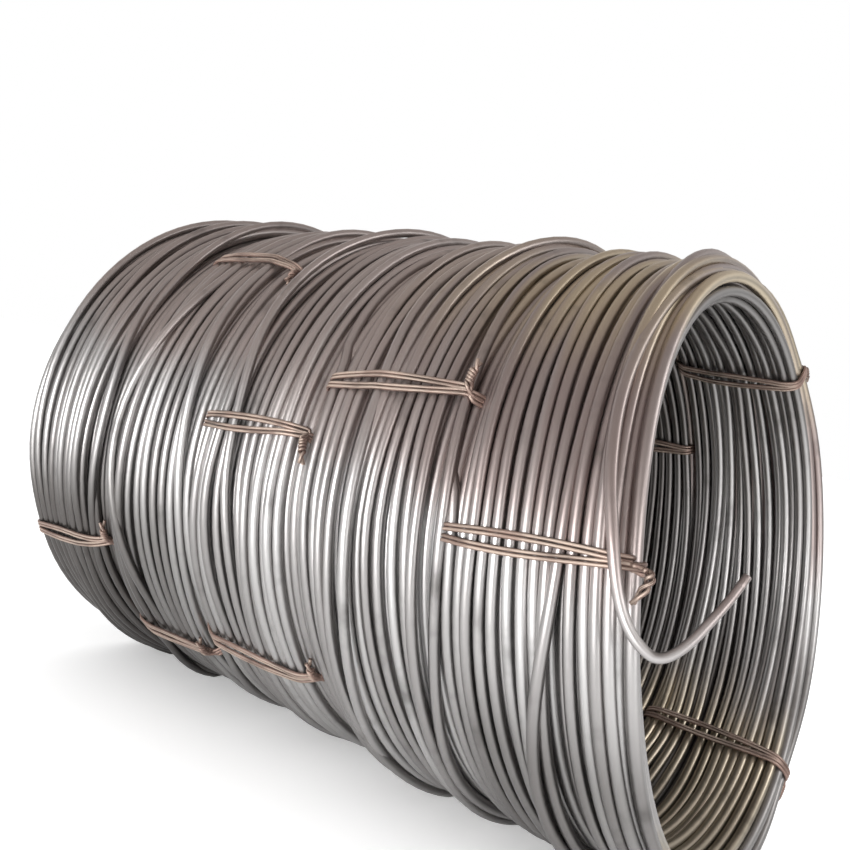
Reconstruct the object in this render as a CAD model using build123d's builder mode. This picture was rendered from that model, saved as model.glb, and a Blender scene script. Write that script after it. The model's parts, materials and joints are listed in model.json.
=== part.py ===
"""Coil of steel wire rod, lying on its side.

One rod is wound into five sections end to end, and each section is tied in three
places with doubled, twice-wrapped annealed wire. The winding runs along X with its
open end at +X. The origin is on the axis of the bore, midway along it, and +Z is up.
"""
import os
from math import cos, degrees, pi, radians, sin, tan

from build123d import *

# The rod and how it is wound
rod_diameter = 12.0
bore_diameter = 620.0
layers = 3
layer_pitch = 11.5  # a turn sinks a little between the turns below it
turn_pitch = 12.0
section_turns = (16, 16, 15, 14, 15)  # from the open end at +X to the far end

# How the winding has slumped: the top leans back, most at the open end
open_end_lean = 9.8
joint_leans = (5.8, 3.0, 1.2, 0.0)  # at the joints between the sections

# Relief on the turned solid
joint_depth = 9.0
joint_half_width = 13.5
bunches = (2, 2, 1, 1, 1)  # bunches of turns in each section, which part a little
bunch_gap_depth = 5.0
bunch_gap_half_width = 5.0
turn_groove_depth = 4.5
turn_groove_half_width = 3.0
edge_chamfer = 3.5

# The ties: two bands of doubled wire side by side
tie_wire = 4.0
tie_band = 8.0
tie_band_gap = 5.0
tie_clearance = 1.0
tie_corner = 3.0  # the bevel where a band turns over an edge
knot_radius = 4.5
knot_tail = 20.0
tie_angles = (  # degrees from the top, turning towards the viewer at -Y
    (85.5, 219.0, 319.0),
    (66.5, 200.0, 293.0),
    (78.5, 127.0, 250.0),
    (40.0, 134.5, 268.0),
    (115.0, 232.0, 335.0),
)

# The free end of the rod, which leaves the open end over a tie
free_end_route = (  # degrees from the top, height over the winding, distance past the open end
    (42.0, -9.0, -62.0),
    (56.0, 2.5, -54.0),
    (70.0, 11.5, -44.0),
    (83.0, 16.5, -27.0),
    (90.0, 15.0, -11.0),
    (97.5, 7.0, 30.0),
)
free_end_tip = (72.0, -324.0, 46.0)  # past the open end, across, and over the axis
free_end_bend = 18.0  # centre-line radius of its sharp bend

# What follows from these
bore_radius = bore_diameter / 2
wall = rod_diameter + (layers - 1) * layer_pitch
outer_radius = bore_radius + wall
coil_length = turn_pitch * sum(section_turns)
open_x = coil_length / 2
far_x = -coil_length / 2
tie_width = 2 * tie_band + tie_band_gap
seat_depth = tie_wire + tie_clearance
slot_length = tie_wire + 2 * tie_clearance
turns_so_far = [sum(section_turns[: i + 1]) for i in range(len(section_turns) - 1)]
joint_places = [open_x - turn_pitch * turns for turns in turns_so_far]
edge_places = (open_x, *joint_places, far_x)
edge_leans = (open_end_lean, *joint_leans, 0.0)


def lean_plane(x, lean):
    """The plane across the winding at x whose top leans back; its own x runs along the winding."""
    along = (cos(radians(lean)), 0, sin(radians(lean)))
    return Plane(origin=(x, 0, 0), x_dir=along, z_dir=(0, -1, 0))


def lean_axis(x, lean):
    """The line through the winding's axis at x, square to that leaning plane."""
    return Axis((x, 0, 0), (cos(radians(lean)), 0, sin(radians(lean))))


def x_on_lean(x, lean, radius, angle):
    """Where a leaning cut meets the winding at a radius and an angle from the top."""
    return x - tan(radians(lean)) * radius * cos(radians(angle))


def radial_plane(angle, x=0.0):
    """The plane through the axis at an angle from the top: x runs along, y points outwards."""
    turn = radians(angle)
    return Plane(origin=(x, 0, 0), x_dir=(1, 0, 0), z_dir=(0, -cos(turn), -sin(turn)))


def cut_turn_grooves(x, lean, outward):
    """Grooves between the layers on an end face, so that the last turns show as rings."""
    for layer in range(1, layers):
        radius = bore_radius + rod_diameter / 2 + (layer - 0.5) * layer_pitch
        with BuildSketch(lean_plane(x, lean)) as groove:
            with BuildLine():
                Polyline(
                    (-outward * turn_groove_depth, radius),
                    (outward * turn_groove_depth, radius - 2 * turn_groove_half_width),
                    (outward * turn_groove_depth, radius + 2 * turn_groove_half_width),
                    close=True,
                )
            make_face()
        revolve(groove.sketch, axis=lean_axis(x, lean), mode=Mode.SUBTRACT)


def cut_round_groove(x, lean, depth, half_width):
    """A groove right round the winding, where its turns part: its width is at the surface."""
    with BuildSketch(lean_plane(x, lean)) as groove:
        with BuildLine():
            Polyline(
                (0, outer_radius - depth),
                (2 * half_width, outer_radius + depth),
                (-2 * half_width, outer_radius + depth),
                close=True,
            )
        make_face()
    revolve(groove.sketch, axis=lean_axis(x, lean), mode=Mode.SUBTRACT)


def cut_bunch_gaps(section):
    """The grooves between the bunches of turns in a section."""
    near, far = edge_places[section : section + 2]
    near_lean, far_lean = edge_leans[section : section + 2]
    for bunch in range(1, bunches[section]):
        share = bunch / bunches[section]
        x, lean = near + (far - near) * share, near_lean + (far_lean - near_lean) * share
        cut_round_groove(x, lean, bunch_gap_depth, bunch_gap_half_width)


def section_ends(section, angle):
    """Where the turns of a section end, along X, under a tie at an angle from the top: (far, near)."""
    if section == 0:
        half_turn = degrees(tie_width / 2 / bore_radius)
        near = max(
            x_on_lean(open_x, open_end_lean, radius, edge)
            for radius in (bore_radius, outer_radius)
            for edge in (angle - half_turn, angle + half_turn)
        )
    else:
        near = x_on_lean(joint_places[section - 1], joint_leans[section - 1], outer_radius, angle)
    if section == len(section_turns) - 1:
        far = far_x
    else:
        far = x_on_lean(joint_places[section], joint_leans[section], outer_radius, angle)
    return far, near


def tie_span(section, angle):
    """The outside of a tie along X: it wraps an end face, or runs in the joint's slot."""
    far, near = section_ends(section, angle)
    over_end = tie_wire + tie_clearance
    near_side = near + over_end if section == 0 else near - tie_clearance
    far_side = far - over_end if section == len(section_turns) - 1 else far + tie_clearance
    return far_side, near_side


def cut_tie_seat(section, angle):
    """The squeezed-in turns under a tie's inner run, and the gaps it goes through."""
    far, near = section_ends(section, angle)
    far_side, near_side = tie_span(section, angle)
    width = tie_width + 2 * tie_clearance
    plane = radial_plane(angle).offset(-width / 2)
    seat_far = far_side - tie_clearance
    seat_near = near_side + tie_clearance
    with BuildSketch(plane) as seat:
        with Locations(((seat_far + seat_near) / 2, bore_radius)):
            Rectangle(seat_near - seat_far, 2 * seat_depth)
        wall_middle = bore_radius + wall / 2
        if section > 0:
            with Locations((near - slot_length / 2, wall_middle)):
                Rectangle(slot_length, 2 * wall)
        if section < len(section_turns) - 1:
            with Locations((far + slot_length / 2, wall_middle)):
                Rectangle(slot_length, 2 * wall)
    extrude(seat.sketch, amount=width, mode=Mode.SUBTRACT)


def on_winding(angle, height, past_end):
    """A point over the winding's surface, measured from the open end."""
    radius = outer_radius + height
    turn = radians(angle)
    return Vector(open_x + past_end, -radius * sin(turn), radius * cos(turn))


def free_end_points():
    """Corners of the free end's route, from inside the winding to its cut tip."""
    points = [on_winding(*corner) for corner in free_end_route]
    past_end, across, height = free_end_tip
    return points + [Vector(open_x + past_end, across, height)]


def bend_radii(points):
    """The radius at each corner: as large as its runs allow, and the sharp bend's own."""
    radii = []
    for before, corner, after in zip(points, points[1:], points[2:]):
        run_in, run_out = corner - before, after - corner
        half_turn = radians(run_in.get_angle(run_out)) / 2
        radii.append(0.45 * min(run_in.length, run_out.length) / tan(half_turn))
    radii[-1] = min(free_end_bend, radii[-1])
    return radii


def check_free_end(solid, route):
    """Print the rod's radii, and its volume against its section times its length."""
    expected = pi * rod_diameter**2 / 4 * route.length
    print("free end radii", [round(r, 1) for r in bend_radii(free_end_points())])
    print("free end volume over section times length", round(solid.volume / expected, 4))


# The free end of the rod, as a solid of its own until it joins the winding
end_points = free_end_points()
with BuildPart() as free_end:
    with BuildLine() as end_route:
        FilletPolyline(*end_points, radius=bend_radii(end_points))
    with BuildSketch(Plane(origin=end_points[0], z_dir=end_points[1] - end_points[0])):
        Circle(rod_diameter / 2)
    sweep(path=end_route.wires()[0])
check_free_end(free_end.part, end_route.wires()[0])

# The winding, turned about its bore, with its leaning open end and its free end
with BuildPart() as rod_coil:
    lean_reach = tan(radians(open_end_lean)) * outer_radius + rod_diameter
    with BuildSketch(Plane.XZ):
        with BuildLine():
            Polyline(
                (far_x, bore_radius),
                (open_x + lean_reach, bore_radius),
                (open_x + lean_reach, outer_radius),
                (far_x, outer_radius),
                close=True,
            )
        make_face()
    revolve(axis=Axis.X)
    end_normal = lean_axis(open_x, open_end_lean).direction
    split(bisect_by=Plane(origin=(open_x, 0, 0), z_dir=end_normal), keep=Keep.BOTTOM)
    open_face = rod_coil.faces().sort_by(lean_axis(open_x, open_end_lean))[-1]
    far_face = rod_coil.faces().sort_by(Axis.X)[0]
    chamfer([open_face.edges().sort_by(SortBy.LENGTH)[-1], *far_face.edges()], edge_chamfer)
    cut_turn_grooves(open_x, open_end_lean, 1)
    cut_turn_grooves(far_x, 0.0, -1)
    for place, lean in zip(joint_places, joint_leans):
        cut_round_groove(place, lean, joint_depth, joint_half_width)
    for section, angles in enumerate(tie_angles):
        cut_bunch_gaps(section)
        for angle in angles:
            cut_tie_seat(section, angle)
    add(free_end.part)


def make_tie(section, angle):
    """One tie: two flat bands of doubled wire round the wall, joined by the twisted knot."""
    far_side, near_side = tie_span(section, angle)
    length = near_side - far_side
    inner_run = bore_radius + tie_clearance
    height = outer_radius + tie_wire - inner_run
    middle = ((far_side + near_side) / 2, inner_run + height / 2)
    with BuildPart() as tie:
        for start in (-tie_width / 2, tie_band_gap / 2):
            with BuildSketch(radial_plane(angle).offset(start)) as band:
                with Locations(middle):
                    Rectangle(length, height)
                    chamfer(band.vertices(), tie_corner)
                    Rectangle(length - 2 * tie_wire, height - 2 * tie_wire, mode=Mode.SUBTRACT)
            extrude(amount=tie_band)
        knot_place = (near_side - tie_wire, outer_radius + tie_wire + knot_radius / 2)
        with BuildSketch(radial_plane(angle).offset(-tie_width / 2 - knot_tail)):
            with Locations(knot_place):
                RegularPolygon(knot_radius, 6)
        extrude(amount=tie_width + knot_tail)
    return tie.part


os.makedirs("parts", exist_ok=True)
rod_coil.part.label = "rod_coil"
export_step(rod_coil.part, "parts/rod_coil.step")

for section, angles in enumerate(tie_angles, start=1):
    for letter, angle in zip("abc", angles):
        tie_part = make_tie(section - 1, angle)
        tie_part.label = f"tie_{section}{letter}"
        export_step(tie_part, f"parts/tie_{section}{letter}.step")
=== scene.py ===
"""Dresses the coil of wire rod: its turns, its wire ties, and the studio that it is seen in."""

import json
from math import cos, pi, radians, sin, sqrt

import bmesh
import bpy
import numpy as np
from bpy.props import FloatProperty, FloatVectorProperty, IntProperty, PointerProperty
from mathutils import Matrix, Vector
from mathutils.geometry import convex_hull_2d


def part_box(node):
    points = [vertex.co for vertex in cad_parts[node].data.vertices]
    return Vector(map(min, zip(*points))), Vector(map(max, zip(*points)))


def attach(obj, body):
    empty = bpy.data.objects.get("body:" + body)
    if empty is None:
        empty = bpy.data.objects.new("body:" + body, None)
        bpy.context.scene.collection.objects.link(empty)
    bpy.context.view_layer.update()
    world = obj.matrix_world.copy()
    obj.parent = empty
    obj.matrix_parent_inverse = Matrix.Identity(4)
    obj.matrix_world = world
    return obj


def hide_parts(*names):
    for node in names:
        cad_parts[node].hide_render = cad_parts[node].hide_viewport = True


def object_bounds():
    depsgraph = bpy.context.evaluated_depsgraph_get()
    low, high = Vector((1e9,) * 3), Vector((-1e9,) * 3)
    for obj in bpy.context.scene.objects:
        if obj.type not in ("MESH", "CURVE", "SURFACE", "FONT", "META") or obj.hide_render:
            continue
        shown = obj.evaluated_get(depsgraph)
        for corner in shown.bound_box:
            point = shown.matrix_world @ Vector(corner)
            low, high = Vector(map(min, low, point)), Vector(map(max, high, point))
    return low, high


bl_info = {
    "name": "Coil of Wire Rod",
    "version": (1, 0, 0),
    "blender": (4, 5, 0),
    "location": "View3D > Sidebar > Coil",
    "description": "Winds, ties and lights a coil of steel wire rod",
    "category": "Add Mesh",
}

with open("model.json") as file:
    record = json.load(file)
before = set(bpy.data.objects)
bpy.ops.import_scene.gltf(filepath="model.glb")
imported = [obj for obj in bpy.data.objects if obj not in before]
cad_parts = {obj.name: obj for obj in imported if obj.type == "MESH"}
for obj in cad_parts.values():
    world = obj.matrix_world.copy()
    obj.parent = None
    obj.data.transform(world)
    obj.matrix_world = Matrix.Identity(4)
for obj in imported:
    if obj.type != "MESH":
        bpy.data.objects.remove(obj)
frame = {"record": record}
cad_low, cad_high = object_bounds()
coil_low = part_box("rod_coil")[0]
bore = frame["record"]["mounts"][0]["dims"]

# Lengths are in metres. Angles are in degrees, from the top towards the side of the free end, at -Y.
# Sections are counted from the far end.
ROD = 0.012
BORE_RADIUS = bore["r_mm"] / 1000
OUTER_RADIUS = -coil_low.z
FAR_X = coil_low.x
TURN_PITCH = 0.012
SECTION_TURNS = (15, 14, 15, 16, 16)
EDGES = FAR_X + TURN_PITCH * np.cumsum((0, *SECTION_TURNS))
OPEN_X = EDGES[-1]

# How the winding has slumped at the edges of its sections
EDGE_LEANS = (0.0, 0.0, 1.2, 3.0, 5.8, 9.8)  # how far the top leans back
EDGE_SWAYS = (0.0, 0.0, 0.010, 0.022, 0.004, 0.0)  # how far the bottom swings out
END_BULGE = 0.013  # how far the open end stands out beside its first tie
BULGE_DROP = 5.0  # how far below that tie, as an angle
BULGE_REACH = 35.0

# The turns of each layer by section: the inner and outer layers have room to spare, so their turns part
INNER_TURNS = (14, 13, 14, 15, 15)
MIDDLE_TURNS = (14, 14, 15, 16, 15)
OUTER_TURNS = (13, 12, 13, 14, 14)
STATIONS = 96  # points in one turn of the rod
START_ANGLE = 205.0
CROSSINGS = (255.0, 118.0, 62.0, 80.0)  # where the rod runs on into the next section
HIDDEN_END = 178.0  # where the inner and middle layers end
FREE_END_START = 345.0  # where the outer layer's last turn becomes the free end
MIDDLE_THICKNESS = 1.13  # of the middle layer's rod, so that no daylight shows through the wall
PRESSED = 0.0004  # how far crossing rods press together
JOINT_SINK = 0.005  # how far outer turns sink beside the joints between sections
JOINT_REACH = 0.020

# What a tie does to the turns under it
TIE_REACH = 9.0  # to each side of it
TIE_SEAT = 0.0045  # how far inner turns give way
TIE_HOLD = 0.75  # share of their wandering that it takes away
TIE_GATHER = 0.05  # share of the way that it draws them to the section's middle
TIE_PRESS = 0.85  # share of their lift that it presses down

# How turns draw together and roam, and stretches of the outer rod that stray over their neighbours
BUNCH_LENGTHS = (0.04, 0.13)
ROAM_SPACING = 0.23  # in turns
STRAYS = 30
STRAY_LENGTHS = (0.22, 0.42)  # in turns
STRAY_SWINGS = (0.016, 0.03)

# The ties
TIE_WIRE = 0.004
TIE_SIDES = 8
WIRE_CLEARANCE = 0.0002
RING_POINTS = 24  # round each rod that a tie is pulled tight over
TIE_ANGLES = (
    (115.0, 232.0, 335.0),
    (40.0, 134.5, 268.0),
    (78.5, 127.0, 250.0),
    (66.5, 200.0, 293.0),
    (85.5, 219.0, 319.0),
)
TIE_SKEWS = {  # how much lower a tie runs at its far side and at its near side
    "tie_1a": (0.014, -0.006),
    "tie_2a": (0.005, -0.011),
    "tie_3a": (0.010, -0.002),
    "tie_5a": (0.010, -0.006),
}
LAP_SPREAD = 0.0044  # from a tie's middle to each of its two laps, at its corners
LAP_BOW = 0.0038  # and how much further between them
WIRE_SPREAD = 0.0021  # from a lap's middle to each of its two wires
CHANGE_START = 0.6  # where a wire changes from the first lap's side to the second's, in laps
CHANGE_LENGTH = 0.8

# A tie's twisted end, from its corner: along the bore, down round the winding, and outwards
KNOT_INSET = 0.003
KNOT_HEIGHT = 0.0035
KNOT_UP = ((0.0, 0.0, 0.0), (0.0, -0.012, 0.006), (0.0, -0.032, 0.003))
KNOT_DOWN = ((-0.004, 0.0, 0.0), (0.004, 0.010, 0.007), (0.008, 0.032, 0.003))
KNOT_LONG = (
    (-0.016, 0.0, 0.003),
    (0.004, -0.001, 0.006),
    (0.018, 0.001, 0.005),
    (0.017, 0.012, 0.004),
    (0.006, 0.030, 0.001),
)
KNOT_TAILS = {"tie_1a": KNOT_LONG, "tie_3a": KNOT_DOWN, "tie_4a": KNOT_DOWN}
KNOT_STEPS = 24  # points along it, shared out over its bends
TWIST_RADIUS = 0.0036
TWIST_TURNS = 2.6

# The free end of the rod: angle, height over the winding, distance past the open end
FREE_END = (
    (8.0, -0.006, -0.079),
    (22.0, -0.005, -0.076),
    (36.0, 0.000, -0.071),
    (50.0, 0.005, -0.0640),
    (62.0, 0.0105, -0.0535),
    (73.0, 0.0150, -0.0350),
    (80.5, 0.0175, -0.0165),
    (86.0, 0.0170, -0.0045),
)
# Then clear of the winding: distance past the open end, across, and over the axis
FREE_END_HOOK = (
    (0.003, -0.3585, 0.004),
    (0.011, -0.357, -0.011),
    (0.0225, -0.354, -0.0245),
    (0.038, -0.346, -0.035),
    (0.0535, -0.334, -0.021),
    (0.066, -0.318, 0.0065),
    (0.0735, -0.305, 0.026),
    (0.079, -0.296, 0.044),
)
DRAWN_POINTS = 60  # points of the free end along which it is drawn out thinner
TIP_THICKNESS = 0.62
END_BLEND = 8  # points of the last turn that the run into the free end replaces

# The studio
CAMERA_PLACE = (0.751, -1.0578, 0.1463)
CAMERA_AZIMUTH, CAMERA_HEIGHT, CAMERA_ROLL = 36.44, 2.44, 10.84
CAMERA_LENS = 39.1
BEHIND_COIL = (-0.594, 0.805, 0.0)  # the way from the camera over the coil
WHITE = (1.0, 1.0, 1.0)
FLOOR_COLOUR = (0.93, 0.93, 0.93, 1)
FLOOR_LIFT = 0.3  # what the camera sees the floor brighter by
FLOOR_REACH = 30.0


def tie_name(section, letter):
    """The CAD node of a tie: sections are numbered there from the open end."""
    return f"tie_{len(SECTION_TURNS) - section}{letter}"


def on_winding(angle, height, past_end):
    """A point over the winding, measured from the middle of the open end."""
    radius = OUTER_RADIUS + height
    turn = radians(angle)
    return Vector((OPEN_X + past_end, -radius * sin(turn), radius * cos(turn)))


def spread(values, width):
    """The values along the rod, smoothed over a number of points."""
    reach = int(3 * width) + 1
    steps = np.arange(-reach, reach + 1)
    weights = np.exp(-0.5 * (steps / width) ** 2)
    padded = np.pad(values, reach, mode="edge")
    return np.convolve(padded, weights / weights.sum(), mode="valid")


def wander(turns, spacing, rng):
    """A smooth random line from -1 to 1, with a new value every so many turns."""
    knots = rng.uniform(-1, 1, int((turns[-1] - turns[0]) / spacing) + 3)
    place = (turns - turns[0]) / spacing
    knot = place.astype(int)
    share = place - knot
    share = share * share * (3 - 2 * share)
    return knots[knot] * (1 - share) + knots[knot + 1] * share


def bunching(along, angle, strength, rng):
    """Slow sideways shifts that draw some turns together and others apart."""
    shift = np.zeros_like(along)
    waves = 9
    for _ in range(waves):
        length = rng.uniform(*BUNCH_LENGTHS)
        rounds = rng.integers(-2, 3)
        phase = rng.uniform(0, 2 * pi)
        shift += np.sin(2 * pi * along / length + rounds * angle + phase) * length / (2 * pi)
    return strength * shift / sqrt(waves)


def near_angle(angle, middle, reach):
    """1 at an angle, in degrees, falling to 0 away from it."""
    away = (np.degrees(angle) - middle + 180) % 360 - 180
    return np.exp(-((away / reach) ** 2))


class Layer:
    """One layer of turns: where the rod's centre line goes, point by point."""

    def __init__(self, radius, outward, turns, inset, gap, seed, end_angle):
        """Its turns lift outward, 1 or -1, and leave an inset at the coil's ends and a gap at its joints."""
        self.radius, self.outward, self.inset, self.gap = radius, outward, inset, gap
        self.rng = np.random.default_rng(seed)
        gates = [0.0]
        for count, crossing in zip(turns, (*CROSSINGS, end_angle)):
            whole = gates[-1] + count
            target = (crossing - START_ANGLE) / 360
            gates.append(target + round(whole - target))
        self.gates = gates
        self.turns = np.arange(0, gates[-1] + 1e-9, 1 / STATIONS)
        self.angle = radians(START_ANGLE) + 2 * pi * self.turns
        self.section = np.clip(np.searchsorted(gates, self.turns, side="right") - 1, 0, len(turns) - 1)
        self.place()

    def place(self):
        """Even turns in each section, which step over the gap to the next."""
        along = np.zeros_like(self.turns)
        for k, (low, high) in enumerate(zip(EDGES, EDGES[1:])):
            here = self.section == k
            share = (self.turns[here] - self.gates[k]) / (self.gates[k + 1] - self.gates[k])
            start = low + (self.gap / 2 if k > 0 else self.inset + ROD / 2)
            finish = high - (self.gap / 2 if high < OPEN_X else self.inset + ROD / 2)
            along[here] = start + (finish - start) * share
        self.along = spread(along, width=2.2)
        self.squeeze = np.zeros_like(along)
        for k, angles in enumerate(TIE_ANGLES):
            for angle in angles:
                self.squeeze += (self.section == k) * near_angle(self.angle, angle, TIE_REACH)
        self.squeeze = np.clip(spread(self.squeeze, width=2), 0, 1)

    def disturb(self, bunch, roam):
        """Draws turns together and apart, less under the ties."""
        free = 1 - TIE_HOLD * self.squeeze
        self.along += free * bunching(self.along, self.angle, bunch, self.rng)
        self.along += free * roam * wander(self.turns, ROAM_SPACING, self.rng)
        middle = (EDGES[self.section] + EDGES[self.section + 1]) / 2
        self.along -= TIE_GATHER * self.squeeze * (self.along - middle)

    def settle(self, strays=()):
        """Lifts each turn that its neighbours leave no room for, and the strays over what they cross."""
        touch = ROD - PRESSED
        x = self.across()
        odd = (self.turns.astype(int) % 2).astype(float)
        lift = np.zeros_like(x)

        def over(shift, base_lift, line):
            """How high a line has to rise over the turns that many points on."""
            gap = np.full_like(x, 1.0)
            under = np.zeros_like(x)
            if shift > 0:
                gap[:-shift] = line[:-shift] - x[shift:]
                under[:-shift] = base_lift[shift:]
            else:
                gap[-shift:] = line[-shift:] - x[:shift]
                under[-shift:] = base_lift[:shift]
            rise = np.sqrt(np.clip(touch**2 - gap**2, 0, None))
            return np.where(rise > 0, rise + under, 0)

        flat = np.zeros_like(x)
        for shift in (STATIONS, -STATIONS):
            lift = np.maximum(lift, odd * over(shift, flat, x))
        lift = spread(lift, width=4)
        for start, length, sideways in strays:
            share = np.clip((self.turns - start) / length, 0, 1)
            swing = sideways * np.sin(pi * share) ** 2
            stray_x = x + swing
            rise = np.zeros_like(x)
            for hop in (-4, -3, -2, -1, 1, 2, 3, 4):
                rise = np.maximum(rise, over(hop * STATIONS, lift, stray_x))
            moved = np.abs(swing) > 0.0003
            raised = spread(np.where(moved, rise, lift), width=3)
            lift = np.where(moved, np.maximum(lift, raised), lift)
            self.along += swing
        self.lift = spread(lift, width=3) * (1 - TIE_PRESS * self.squeeze)

    def across(self):
        """Where the turns are along the bore, with the lean of the coil."""
        lean = np.radians(np.interp(self.along, EDGES, EDGE_LEANS))
        sway = np.interp(self.along, EDGES, EDGE_SWAYS) * np.clip(-np.cos(self.angle), 0, 1)
        bulge = END_BULGE * np.clip((self.along - EDGES[-2]) / (OPEN_X - EDGES[-2]), 0, 1)
        bulge = bulge * near_angle(self.angle, TIE_ANGLES[-1][0] + BULGE_DROP, BULGE_REACH)
        return self.along + sway + bulge - np.tan(lean) * self.radius * np.cos(self.angle)

    def points(self, sink=0.0, seat=0.0):
        """The centre line as points, sunk a little at the joints and seated under the ties."""
        radius = self.radius + self.outward * self.lift
        for edge in EDGES[1:-1]:
            radius = radius - self.outward * sink * np.exp(-(((self.along - edge) / JOINT_REACH) ** 2))
        radius = radius - self.outward * seat * self.squeeze
        down = np.clip(-np.cos(self.angle), 1e-6, None)
        radius = np.minimum(radius, (OUTER_RADIUS - ROD / 2) / down)
        return np.stack([self.across(), -radius * np.sin(self.angle), radius * np.cos(self.angle)], 1)


def route(corners, steps=6):
    """A smooth line inside a row of corners, through the middles between them."""
    corners = [Vector(corner) for corner in corners]
    middles = [(a + b) / 2 for a, b in zip(corners, corners[1:])]
    line = [corners[0]]
    for start, corner, finish in zip(middles, corners[1:], middles[1:]):
        for step in range(steps):
            t = step / steps
            line.append((1 - t) ** 2 * start + 2 * t * (1 - t) * corner + t * t * finish)
    return line + [middles[-1], corners[-1]]


def add_object(name, data):
    """A new object in the scene, at the origin."""
    item = bpy.data.objects.new(name, data)
    bpy.context.scene.collection.objects.link(item)
    return item


def swept(name, line, radius, sides, thick):
    """A round rod along a line, as a mesh: the corners of its two caps, and then its rings."""
    curve = bpy.data.curves.new(name, "CURVE")
    curve.dimensions = "3D"
    curve.bevel_depth = radius
    curve.bevel_resolution = (sides - 4) // 2
    curve.use_fill_caps = True
    spline = curve.splines.new("POLY")
    spline.points.add(len(line) - 1)
    spline.points.foreach_set("co", np.c_[line, np.ones(len(line))].astype(np.float32).ravel())
    if thick is not None:
        spline.points.foreach_set("radius", thick.astype(np.float32))
    carrier = add_object(name, curve)
    bpy.context.view_layer.update()
    solid = carrier.evaluated_get(bpy.context.evaluated_depsgraph_get())
    mesh = bpy.data.meshes.new_from_object(solid)
    bpy.data.objects.remove(carrier)
    bpy.data.curves.remove(curve)
    return mesh


def rod_mesh(name, lines, radius, sides, tones, thick=None, streak=30.0):
    """Round rod along each line, as one closed mesh that keeps what its material reads.

    That is its tone, how far it faces out of the winding or into the bore, and its place along
    and round the rod. Thick gives its thickness point by point, as a share of the radius, and
    a larger streak makes the streaks broader.
    """
    bm = bmesh.new()
    tone_layer = bm.verts.layers.float.new("tone")
    open_layer = bm.verts.layers.float.new("open")
    streak_layer = bm.verts.layers.float_vector.new("streak")
    for line, tone in zip(lines, tones):
        part = swept(name, line, radius, sides, thick)
        first = len(bm.verts)
        bm.from_mesh(part)
        bpy.data.meshes.remove(part)
        bm.verts.ensure_lookup_table()
        runs = np.linalg.norm(np.diff(np.asarray(line), axis=0), axis=1)
        lengths = np.concatenate([[0], np.cumsum(runs)])
        caps = 2 * sides
        for number in range(first, len(bm.verts)):
            ring, corner = divmod(number - first - caps, sides)
            ring = max(ring, 0)
            around = 2 * pi * corner / sides
            vert = bm.verts[number]
            vert[tone_layer] = float(tone[ring])
            out = Vector((0, vert.co.y, vert.co.z)).normalized()
            vert[open_layer] = abs((vert.co - Vector(line[ring])).dot(out)) / radius
            vert[streak_layer] = (lengths[ring], cos(around) / streak, sin(around) / streak)
        ends = [bm.verts[first + k] for k in range(caps)]
        ends += [bm.verts[first + caps + k] for k in range(sides)]
        ends += [bm.verts[len(bm.verts) - sides + k] for k in range(sides)]
        bmesh.ops.remove_doubles(bm, verts=ends, dist=1e-5)
    for face in bm.faces:
        face.smooth = len(face.verts) == 4
    bmesh.ops.recalc_face_normals(bm, faces=bm.faces[:])
    mesh = bpy.data.meshes.new(name)
    bm.to_mesh(mesh)
    bm.free()
    return add_object(name, mesh)


class Nodes:
    """Short ways to add and join the nodes of one material."""

    mix_inputs = (6, 7)  # the Mix node's two colours
    mix_result = 2

    def __init__(self, material):
        material.use_nodes = True
        self.tree = material.node_tree
        self.tree.nodes.clear()

    def add(self, kind, **settings):
        """A node, its settings, and its inputs by name or number: a value or a socket."""
        inputs = settings.pop("inputs", {})
        node = self.tree.nodes.new(kind)
        for name, value in settings.items():
            setattr(node, name, value)
        for name, value in inputs.items():
            if isinstance(value, bpy.types.NodeSocket):
                self.tree.links.new(value, node.inputs[name])
            else:
                node.inputs[name].default_value = value
        return node

    def kept(self, name, output="Fac"):
        """What the mesh keeps under a name."""
        return self.add("ShaderNodeAttribute", attribute_name=name).outputs[output]

    def math(self, operation, first, second=0.0):
        """A Math node's result."""
        return self.add("ShaderNodeMath", operation=operation, inputs={0: first, 1: second}).outputs[0]

    def ramp(self, factor, low, high, start=0.0, finish=1.0):
        """A value moved smoothly from low..high to start..finish."""
        node = self.add(
            "ShaderNodeMapRange",
            interpolation_type="SMOOTHSTEP",
            inputs={"Value": factor, "From Min": low, "From Max": high, "To Min": start, "To Max": finish},
        )
        return node.outputs["Result"]

    def mix(self, factor, first, second):
        """Two colours mixed."""
        node = self.add("ShaderNodeMix", data_type="RGBA", inputs={"Factor": factor})
        for number, value in zip(self.mix_inputs, (first, second)):
            socket = node.inputs[number]
            if isinstance(value, bpy.types.NodeSocket):
                self.tree.links.new(value, socket)
            else:
                socket.default_value = (*value, 1.0)
        return node.outputs[self.mix_result]

    def noise(self, vector, scale, detail=2.0, roughness=0.5):
        """Smooth noise from 0 to 1."""
        node = self.add(
            "ShaderNodeTexNoise",
            inputs={"Vector": vector, "Scale": scale, "Detail": detail, "Roughness": roughness},
        )
        return node.outputs["Fac"]

    def scaled(self, vector, scale):
        """A vector stretched along its axes."""
        return self.add("ShaderNodeMapping", inputs={"Vector": vector, "Scale": scale}).outputs[0]

    def metal(self, colour, metallic, roughness, grain, strength, depth):
        """The shader of a metal, with its grain as bump, joined to the material's output."""
        bump = self.add("ShaderNodeBump", inputs={"Strength": strength, "Distance": depth, "Height": grain})
        shader = self.add(
            "ShaderNodeBsdfPrincipled",
            inputs={
                "Base Color": colour,
                "Metallic": metallic,
                "Roughness": roughness,
                "Normal": bump.outputs["Normal"],
            },
        )
        self.add("ShaderNodeOutputMaterial", inputs={"Surface": shader.outputs[0]})


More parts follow.
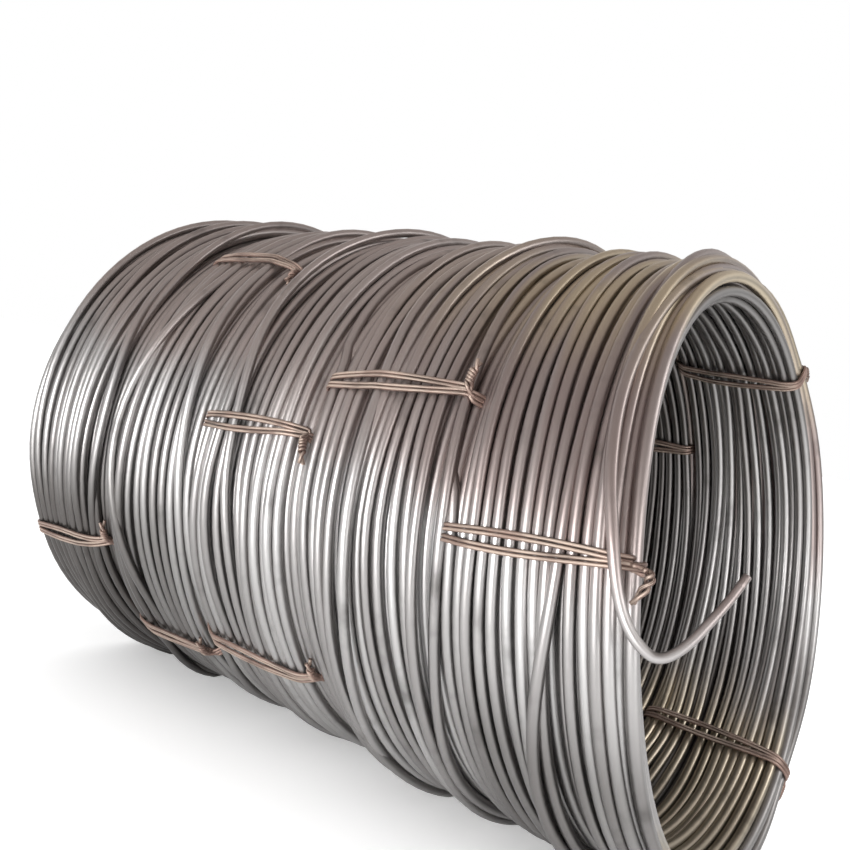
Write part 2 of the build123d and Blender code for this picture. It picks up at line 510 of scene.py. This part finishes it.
def bore_painted_light(n, colours, colour, along, height, uneven_height):
    """The bore: painted shade all over, a painted golden reflection low down, and more painted shade deep
    inside and at its top and bottom.
    """
    # Painted shade: the whole bore a little darker.
    colour = n.mix(0.12, colour, colours.shade)
    # Painted golden reflection low down in the bore.
    painted_gold = n.ramp(uneven_height, -0.17, -0.08, 0.75, 0.0)
    # Painted shade deep inside the bore, at its top and at its bottom.
    deep = n.ramp(along, 0.31, 0.21, 0.0, 0.85)
    top = n.ramp(height, 0.12, 0.24, 0.0, 0.5)
    bottom = n.ramp(height, -0.20, -0.28, 0.0, 0.35)
    shade = n.math("MAXIMUM", n.math("MAXIMUM", deep, top), bottom)
    return colour, painted_gold, shade


def outer_film_and_painted_light(n, colours, colour, along, height, uneven_height, long_streaks):
    """The outside: a brown film with a painted reflection above, a painted golden highlight near the open
    end, and painted shade low down and towards the far end.
    """
    # A brown film on the upper turns, which is also a painted reflection of a dark brown ceiling, darker
    # near the open end.
    top_height = n.math("ADD", uneven_height, n.math("MULTIPLY", along, 0.18))
    above = n.ramp(top_height, 0.12, 0.22)
    # Where the upper turns take the brown film and its painted reflection.
    film = n.math("MULTIPLY", above, n.ramp(long_streaks, 0.3, 0.62, 0.7, 1.0))
    film_and_reflection_colour = n.mix(n.ramp(along, 0.05, 0.3), colours.top_film_and_reflection, colours.near_end_film_and_reflection)
    colour = n.mix(film, colour, film_and_reflection_colour)
    # Painted golden highlight along the crest near the open end, in streaks.
    glint = n.math("MULTIPLY", n.ramp(along, 0.02, 0.30), n.ramp(height, 0.16, 0.28))
    painted_gold = n.math("MULTIPLY", glint, n.ramp(long_streaks, 0.40, 0.58, 0.0, 0.85))
    # Painted shade towards the far end.
    colour = n.mix(n.ramp(along, 0.15, -0.30, 0.0, 0.12), colour, colours.shade)
    # Painted shade low down all along, and more at the far end and near the open end.
    low_side = n.ramp(uneven_height, -0.12, -0.28, 0.0, 0.2)
    far_side = n.math("MULTIPLY", n.ramp(along, 0.02, -0.32, 0.0, 0.9), n.ramp(height, 0.04, -0.12))
    near_side = n.math("MULTIPLY", n.ramp(along, 0.26, 0.34, 0.0, 0.55), n.ramp(height, -0.08, -0.18))
    shade = n.math("MAXIMUM", n.math("MAXIMUM", low_side, far_side), near_side)
    return colour, painted_gold, shade


def rod_steel(colours, inside):
    """Satin steel: a brown film with a painted reflection above, painted shade below, in the bore and
    between turns, dark spots, painted golden reflections and streaks along the rod.
    """
    material = bpy.data.materials.new("rod_steel_inside" if inside else "rod_steel")
    n = Nodes(material)
    place = n.add("ShaderNodeTexCoord").outputs["Object"]
    streak = n.kept("streak", "Vector")
    tone = n.kept("tone")
    split = n.add("ShaderNodeSeparateXYZ", inputs={0: place}).outputs
    along, height = split["X"], split["Z"]
    patches = n.noise(place, 5.0, 3.0)
    fine = n.noise(n.scaled(streak, (9.0, 1.5, 1.5)), 1.0, 4.0, 0.6)
    uneven_height = n.math("ADD", height, n.math("MULTIPLY", patches, 0.16))
    colour = n.mix(n.ramp(tone, 0.1, 0.9), colours.steel_dark, colours.steel_bright)
    # The inner layer gets a shaded copy of the steel, with painted shade and a painted golden reflection.
    if inside:
        colour, painted_gold, shade = bore_painted_light(n, colours, colour, along, height, uneven_height)
    else:
        long_streaks = n.noise(n.scaled(streak, (2.2, 6.0, 6.0)), 1.0, 2.0)
        colour, painted_gold, shade = outer_film_and_painted_light(n, colours, colour, along, height, uneven_height, long_streaks)
    # Painted golden reflection and highlight.
    colour = n.mix(painted_gold, colour, colours.painted_gold)
    # Painted shade, by the masks above.
    colour = n.mix(shade, colour, colours.shade)
    spots = n.ramp(fine, 0.54, 0.74, 0.0, 0.6)
    colour = n.mix(spots, colour, colours.grime_and_gap_shade)
    # Painted shade between turns, where the rod faces into the winding.
    gap_shade = n.ramp(n.kept("open"), 0.7, 0.1, 0.0, 0.45)
    colour = n.mix(gap_shade, colour, colours.grime_and_gap_shade)
    rough = n.ramp(n.math("ADD", fine, n.math("MULTIPLY", tone, 0.2)), 0.3, 0.9, 0.32, 0.46)
    n.metal(colour, metallic=0.97, roughness=rough, grain=fine, strength=0.25, depth=0.0006)
    return material


def tie_steel(colours):
    """Annealed wire, brown with rust, with a painted pale tan highlight along its crests."""
    material = bpy.data.materials.new("tie_wire")
    n = Nodes(material)
    place = n.add("ShaderNodeTexCoord").outputs["Object"]
    patches = n.noise(place, 28.0, 3.0, 0.55)
    grain = n.noise(n.scaled(n.kept("streak", "Vector"), (24.0, 2.0, 2.0)), 1.0, 3.0, 0.5)
    mottle = n.ramp(n.math("ADD", patches, n.math("MULTIPLY", n.kept("tone"), 0.25)), 0.42, 0.78)
    colour = n.mix(mottle, colours.rust_dark, colours.rust)
    # Painted highlight along the wire's crests, broken up by its grain.
    highlit = n.math("MULTIPLY", n.ramp(n.kept("open"), 0.45, 0.95), n.ramp(grain, 0.36, 0.6, 0.25, 0.9))
    colour = n.mix(highlit, colour, colours.wire_highlight)
    rough = n.ramp(grain, 0.3, 0.8, 0.42, 0.62)
    n.metal(colour, metallic=0.6, roughness=rough, grain=grain, strength=0.3, depth=0.0003)
    return material


def finish_piece(piece, material, slot, *nodes):
    """Gives a piece its finish and its place in the frame."""
    piece.data.materials.append(material)
    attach(piece, "root")
    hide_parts(*nodes)


class CoilWinding(bpy.types.PropertyGroup):
    """How the rod is wound and drawn"""

    layer_pitch: FloatProperty(
        name="Layer Pitch", description="From one layer's middle to the next", default=0.0115, unit="LENGTH"
    )
    outer_sides: IntProperty(name="Outer Sides", description="Faces round an outer rod", default=10)
    inner_sides: IntProperty(name="Inner Sides", description="Faces round an inner rod", default=8)
    seed: IntProperty(name="Seed", description="Picks how the turns lie", default=11)


class CoilColours(bpy.types.PropertyGroup):
    """The colours of the rod and its ties, and of the shade, highlights and reflections painted on them"""

    steel_bright: FloatVectorProperty(
        name="Bright Steel", description="Clean satin rod", subtype="COLOR", default=(0.57, 0.56, 0.555)
    )
    steel_dark: FloatVectorProperty(
        name="Dark Steel", description="Duller turns", subtype="COLOR", default=(0.38, 0.365, 0.36)
    )
    # A brown film on the upper turns, which is also a painted reflection of a dark brown ceiling.
    top_film_and_reflection: FloatVectorProperty(
        name="Tarnish",
        description="Brown film on the upper turns",
        subtype="COLOR",
        default=(0.52, 0.455, 0.435),
    )
    # The same brown film and painted reflection, darker, near the open end.
    near_end_film_and_reflection: FloatVectorProperty(
        name="Dark Tarnish",
        description="The film near the open end",
        subtype="COLOR",
        default=(0.38, 0.315, 0.30),
    )
    # Painted golden reflection: low down in the bore, and as highlights along the crest near the open end.
    painted_gold: FloatVectorProperty(
        name="Brass Tint", description="Oily golden patches", subtype="COLOR", default=(0.62, 0.53, 0.38)
    )
    # Painted shade: low down, towards the far end, and in the bore.
    shade: FloatVectorProperty(
        name="Dirt",
        description="Dull film low down and inside",
        subtype="COLOR",
        default=(0.12, 0.11, 0.105),
    )
    # Dark spots of dirt, and the painted shade between turns.
    grime_and_gap_shade: FloatVectorProperty(
        name="Grime",
        description="Dark spots and dirt between turns",
        subtype="COLOR",
        default=(0.05, 0.044, 0.04),
    )
    rust: FloatVectorProperty(
        name="Rust", description="Tie wire", subtype="COLOR", default=(0.27, 0.18, 0.15)
    )
    rust_dark: FloatVectorProperty(
        name="Dark Rust", description="Tie wire in its folds", subtype="COLOR", default=(0.09, 0.06, 0.05)
    )
    # Painted highlight along the crests of the tie wire.
    wire_highlight: FloatVectorProperty(
        name="Worn Wire",
        description="Where the tie wire is rubbed",
        subtype="COLOR",
        default=(0.52, 0.42, 0.35),
    )


class CoilStudio(bpy.types.PropertyGroup):
    """The light that the coil is seen in"""

    key_power: FloatProperty(
        name="Key Lamp", description="The long lamp in front of the coil", default=48.0, unit="POWER"
    )
    rim_power: FloatProperty(
        name="Rim Lamp", description="The lamp above the open end", default=10.0, unit="POWER"
    )
    fill_power: FloatProperty(
        name="Fill Lamp", description="The lamp that looks into the bore", default=9.0, unit="POWER"
    )
    walls: FloatVectorProperty(
        name="Walls",
        description="What the steel mirrors at its sides",
        subtype="COLOR",
        default=(0.50, 0.495, 0.49),
    )
    ceiling: FloatVectorProperty(
        name="Ceiling",
        description="What the steel mirrors overhead",
        subtype="COLOR",
        default=(0.42, 0.38, 0.36),
    )


# The layers by name, which wind works out, and their points
winding = {}
winding_points = {}


def draw_strays(outer, rng):
    """Where the outer rod strays, clear of its two ends: start, length and swing."""
    strays = []
    for _ in range(STRAYS):
        start = rng.uniform(2, outer.turns[-1] - 3)
        length = rng.uniform(*STRAY_LENGTHS)
        strays.append((start, length, rng.choice((-1, 1)) * rng.uniform(*STRAY_SWINGS)))
    return strays


def wind(sizes):
    """The three layers, worked out before any rod is drawn, because the ties need them all."""
    seed = sizes.seed
    first = BORE_RADIUS + ROD / 2
    second = first + sizes.layer_pitch
    third = first + 2 * sizes.layer_pitch
    inner = Layer(first, -1, INNER_TURNS, inset=0.002, gap=0.006, seed=seed, end_angle=HIDDEN_END)
    middle = Layer(second, 1, MIDDLE_TURNS, inset=0.002, gap=0.0, seed=seed + 1, end_angle=HIDDEN_END)
    outer = Layer(third, 1, OUTER_TURNS, inset=0.006, gap=0.018, seed=seed + 2, end_angle=FREE_END_START)
    inner.disturb(bunch=0.30, roam=0.0012)
    outer.disturb(bunch=0.34, roam=0.0015)
    inner.settle()
    middle.settle()
    outer.settle(draw_strays(outer, np.random.default_rng(seed + 3)))
    winding.update(inner=inner, middle=middle, outer=outer)
    winding_points["inner"] = inner.points(seat=TIE_SEAT)
    winding_points["middle"] = middle.points()
    winding_points["outer"] = outer.points(sink=JOINT_SINK)


def with_free_end(line, tone, thick):
    """The outer layer's rod, whose last turn runs on into the free end, drawn out at its tip."""
    corners = [on_winding(*corner) for corner in FREE_END]
    corners += [Vector((OPEN_X + past, across, over)) for past, across, over in FREE_END_HOOK]
    free = route([line[-END_BLEND], line[-1], *corners])
    line = np.concatenate([line[:-END_BLEND], np.array(free)])
    tone = np.pad(tone[:-END_BLEND], (0, len(free)), mode="edge")
    thick = np.pad(thick[:-END_BLEND], (0, len(free)), mode="edge")
    thick[-DRAWN_POINTS:] = np.linspace(1.0, TIP_THICKNESS, DRAWN_POINTS)
    return line, tone, thick


def add_layer(name, sides, material, thickness=1.0):
    """Draws the rod of one layer, and the outer one's free end with it."""
    layer = winding[name]
    line = winding_points[name]
    tone = 0.5 + 0.5 * wander(layer.turns, 1.0, layer.rng)
    thick = np.full(len(line), thickness)
    if name == "outer":
        line, tone, thick = with_free_end(line, tone, thick)
    piece = rod_mesh(f"rod_{name}_layer", [line], ROD / 2, sides, [tone], thick)
    finish_piece(piece, material, "rod_steel", "rod_coil")


class COIL_OT_rod(bpy.types.Operator):
    """Wind the rod in its three layers, with its free end"""

    bl_idname = "coil.rod"
    bl_label = "Rod"

    def execute(self, context):
        sizes, colours = context.scene.coil_winding, context.scene.coil_colours
        wind(sizes)
        outside = rod_steel(colours, inside=False)
        inside = rod_steel(colours, inside=True)
        add_layer("inner", sizes.inner_sides, inside)
        add_layer("middle", sizes.inner_sides, outside, MIDDLE_THICKNESS)
        add_layer("outer", sizes.outer_sides, outside)
        return {"FINISHED"}


def turns_under(section, angle):
    """Middles of the rods of a section where a tie goes round them, as (along, out)."""
    found = []
    for name, layer in winding.items():
        points = winding_points[name]
        target = ((angle - START_ANGLE) / 360) % 1
        for turn in np.arange(target, layer.turns[-1], 1):
            place = turn * STATIONS
            here = int(place)
            if here + 1 >= len(points) or layer.section[here] != section:
                continue
            point = points[here] + (points[here + 1] - points[here]) * (place - here)
            found.append((point[0], sqrt(point[1] ** 2 + point[2] ** 2)))
    return found


def taut_loop(section, angle, steps=110):
    """The line of a wire pulled tight round the rods of a section, starting at the near outer corner."""
    reach = (ROD + TIE_WIRE) / 2 + WIRE_CLEARANCE
    ring = []
    for x, out in turns_under(section, angle):
        for k in range(RING_POINTS):
            around = 2 * pi * k / RING_POINTS
            ring.append(Vector((x + reach * cos(around), out + reach * sin(around))))
    hull = [ring[k] for k in convex_hull_2d(ring)]
    corner = max(range(len(hull)), key=lambda k: hull[k].x + hull[k].y)
    hull = hull[corner:] + hull[:corner] + [hull[corner]]
    if hull[1].y < hull[-2].y:
        hull.reverse()
    runs = np.cumsum([0] + [(b - a).length for a, b in zip(hull, hull[1:])])
    places = np.linspace(0, runs[-1], steps, endpoint=False)
    xs = np.interp(places, runs, [p.x for p in hull])
    ys = np.interp(places, runs, [p.y for p in hull])
    return np.stack([xs, ys], 1)


def wire_laps(loop, wire, skews, outward, onward):
    """One wire's two laps round the wall, side by side."""
    count = len(loop)
    low, high = loop[:, 0].min(), loop[:, 0].max()
    far_skew, near_skew = skews
    path = []
    for step in range(2 * count + 1):
        lap = step / count
        x, out = loop[step % count]
        share = (x - low) / (high - low)
        side = -1 if lap < 1 else 1
        if CHANGE_START < lap < CHANGE_START + CHANGE_LENGTH:
            side = -cos(pi * (lap - CHANGE_START) / CHANGE_LENGTH)
        lap_offset = LAP_SPREAD + LAP_BOW * sin(pi * share)
        offset = side * lap_offset + wire * WIRE_SPREAD + far_skew + (near_skew - far_skew) * share
        path.append(Vector((x, 0, 0)) + outward * out + onward * offset)
    return path


def wire_twist(axis, start, outward):
    """One strand of the twisted end, wound round its axis from a starting angle."""
    strand = []
    for k, middle in enumerate(axis):
        swing = start + 2 * pi * TWIST_TURNS * k / len(axis)
        around = Vector((cos(swing), 0, 0)) + outward * sin(swing)
        strand.append(middle + around * TWIST_RADIUS)
    return strand


def tie_lines(section, angle, node):
    """The two wires of a tie: each comes up the twisted knot, goes round twice and goes back up it."""
    rng = np.random.default_rng(sum(map(ord, node)))
    loop = taut_loop(section, angle)
    turn = radians(angle)
    outward = Vector((0, -sin(turn), cos(turn)))
    onward = Vector((0, -cos(turn), -sin(turn)))
    skews = TIE_SKEWS.get(node, (0.0, 0.0))
    corner_x, corner_out = loop[0]
    knot = Vector((corner_x - KNOT_INSET, 0, 0)) + outward * (corner_out + KNOT_HEIGHT) + onward * skews[1]
    tail = []
    for along, down, out in KNOT_TAILS.get(node, KNOT_UP):
        tail.append(knot + Vector((along, 0, 0)) + onward * down + outward * out)
    axis = route(tail, KNOT_STEPS // (len(tail) - 2))
    lines, tones = [], []
    for wire in (-1, 1):
        coming = wire_twist(axis, wire * pi / 2, outward)
        going = wire_twist(axis, pi + wire * pi / 2, outward)
        line = np.array(coming[::-1] + wire_laps(loop, wire, skews, outward, onward) + going)
        for _ in range(2):
            line[1:-1] = (line[:-2] + 2 * line[1:-1] + line[2:]) / 4
        lines.append(line)
        tones.append(rng.uniform(0, 1) + 0.3 * np.sin(np.linspace(0, 30, len(line))))
    return lines, tones


class COIL_OT_ties(bpy.types.Operator):
    """Wrap and twist the doubled wire of every tie"""

    bl_idname = "coil.ties"
    bl_label = "Ties"

    def execute(self, context):
        wire = tie_steel(context.scene.coil_colours)
        for section, angles in enumerate(TIE_ANGLES):
            for letter, angle in zip("abc", angles):
                node = tie_name(section, letter)
                lines, tones = tie_lines(section, angle, node)
                piece = rod_mesh(f"wire_{node}", lines, TIE_WIRE / 2, TIE_SIDES, tones, streak=5.0)
                finish_piece(piece, wire, "tie_wire", node)
        return {"FINISHED"}


def add_floor():
    """A wide pale floor at the coil's lowest point."""
    bm = bmesh.new()
    bmesh.ops.create_grid(bm, x_segments=1, y_segments=1, size=FLOOR_REACH)
    bmesh.ops.translate(bm, verts=bm.verts, vec=(0, 0, cad_low.z))
    mesh = bpy.data.meshes.new("floor")
    bm.to_mesh(mesh)
    bm.free()
    floor = add_object("floor", mesh)
    material = bpy.data.materials.new("floor_white")
    n = Nodes(material)
    matt = n.add("ShaderNodeBsdfDiffuse", inputs={"Color": FLOOR_COLOUR})
    seen = n.add("ShaderNodeLightPath").outputs["Is Camera Ray"]
    lift = n.add("ShaderNodeEmission", inputs={"Strength": n.math("MULTIPLY", seen, FLOOR_LIFT)})
    both = n.add("ShaderNodeAddShader", inputs={0: matt.outputs[0], 1: lift.outputs[0]})
    n.add("ShaderNodeOutputMaterial", inputs={"Surface": both.outputs[0]})
    mesh.materials.append(material)


def add_world(studio):
    """White for the camera and for soft light. What shines sees it white only behind the coil."""
    world = bpy.data.worlds.new("studio")
    bpy.context.scene.world = world
    n = Nodes(world)
    way = n.add("ShaderNodeTexCoord").outputs["Generated"]
    height = n.add("ShaderNodeSeparateXYZ", inputs={0: way}).outputs["Z"]
    behind = n.add("ShaderNodeVectorMath", operation="DOT_PRODUCT", inputs={0: way, 1: BEHIND_COIL})
    walls = n.mix(n.ramp(behind.outputs["Value"], 0.1, 0.8), studio.walls, WHITE)
    mirrored = n.mix(n.ramp(height, 0.22, 0.75), walls, studio.ceiling)
    path = n.add("ShaderNodeLightPath").outputs
    shiny = n.math("MAXIMUM", path["Is Glossy Ray"], path["Is Transmission Ray"])
    colour = n.mix(shiny, WHITE, mirrored)
    light = n.add("ShaderNodeBackground", inputs={"Color": colour, "Strength": 1.0})
    n.add("ShaderNodeOutputWorld", inputs={"Surface": light.outputs[0]})


def add_lamp(name, place, target, size, power):
    """A soft rectangular lamp turned towards a point."""
    lamp = bpy.data.lights.new(name, "AREA")
    lamp.shape = "RECTANGLE"
    lamp.size, lamp.size_y = size
    lamp.energy = power
    item = add_object(name, lamp)
    item.location = place
    item.rotation_euler = (Vector(target) - Vector(place)).to_track_quat("-Z", "Y").to_euler()


def add_camera():
    """The photograph's viewpoint, with its slight roll."""
    azimuth, height, roll = map(radians, (CAMERA_AZIMUTH, CAMERA_HEIGHT, CAMERA_ROLL))
    back = Vector((sin(azimuth) * cos(height), -cos(azimuth) * cos(height), sin(height)))
    level = Vector((0, 0, 1)).cross(back).normalized()
    upright = back.cross(level)
    right = cos(roll) * level + sin(roll) * upright
    up = cos(roll) * upright - sin(roll) * level
    turn = Matrix((right, up, back)).transposed().to_4x4()
    camera = add_object("camera", bpy.data.cameras.new("camera"))
    camera.data.lens = CAMERA_LENS
    camera.matrix_world = Matrix.Translation(CAMERA_PLACE) @ turn
    bpy.context.scene.camera = camera


class COIL_OT_stage(bpy.types.Operator):
    """Set the floor, the soft light and the camera"""

    bl_idname = "coil.stage"
    bl_label = "Stage"

    def execute(self, context):
        studio = context.scene.coil_studio
        add_floor()
        add_world(studio)
        add_lamp("key", (0.3, -2.7, 0.05), target=(0, 0, 0), size=(1.6, 0.6), power=studio.key_power)
        add_lamp("rim", (1.9, 0.9, 1.2), target=(0.1, 0, 0.1), size=(0.8, 0.8), power=studio.rim_power)
        add_lamp("fill", (1.9, -0.5, 0.3), target=(0.2, 0.15, 0), size=(0.9, 0.9), power=studio.fill_power)
        add_camera()
        context.scene.view_settings.view_transform = "Standard"
        return {"FINISHED"}


class COIL_PT_panel(bpy.types.Panel):
    """Lists the sizes, the colours and the steps that make the coil"""

    bl_label = "Coil of Wire Rod"
    bl_space_type = "VIEW_3D"
    bl_region_type = "UI"
    bl_category = "Coil"

    def draw(self, context):
        scene = context.scene
        for group in (scene.coil_winding, scene.coil_colours, scene.coil_studio):
            for name in group.__annotations__:
                self.layout.prop(group, name)
        for operator in OPERATORS:
            self.layout.operator(operator.bl_idname)


OPERATORS = (COIL_OT_rod, COIL_OT_ties, COIL_OT_stage)
CLASSES = (CoilWinding, CoilColours, CoilStudio, *OPERATORS, COIL_PT_panel)


def register():
    for cls in CLASSES:
        bpy.utils.register_class(cls)
    bpy.types.Scene.coil_winding = PointerProperty(type=CoilWinding)
    bpy.types.Scene.coil_colours = PointerProperty(type=CoilColours)
    bpy.types.Scene.coil_studio = PointerProperty(type=CoilStudio)


def unregister():
    del bpy.types.Scene.coil_studio
    del bpy.types.Scene.coil_colours
    del bpy.types.Scene.coil_winding
    for cls in reversed(CLASSES):
        bpy.utils.unregister_class(cls)


def main():
    register()
    bpy.ops.coil.rod()
    bpy.ops.coil.ties()
    bpy.ops.coil.stage()


if __name__ == "__main__":
    main()
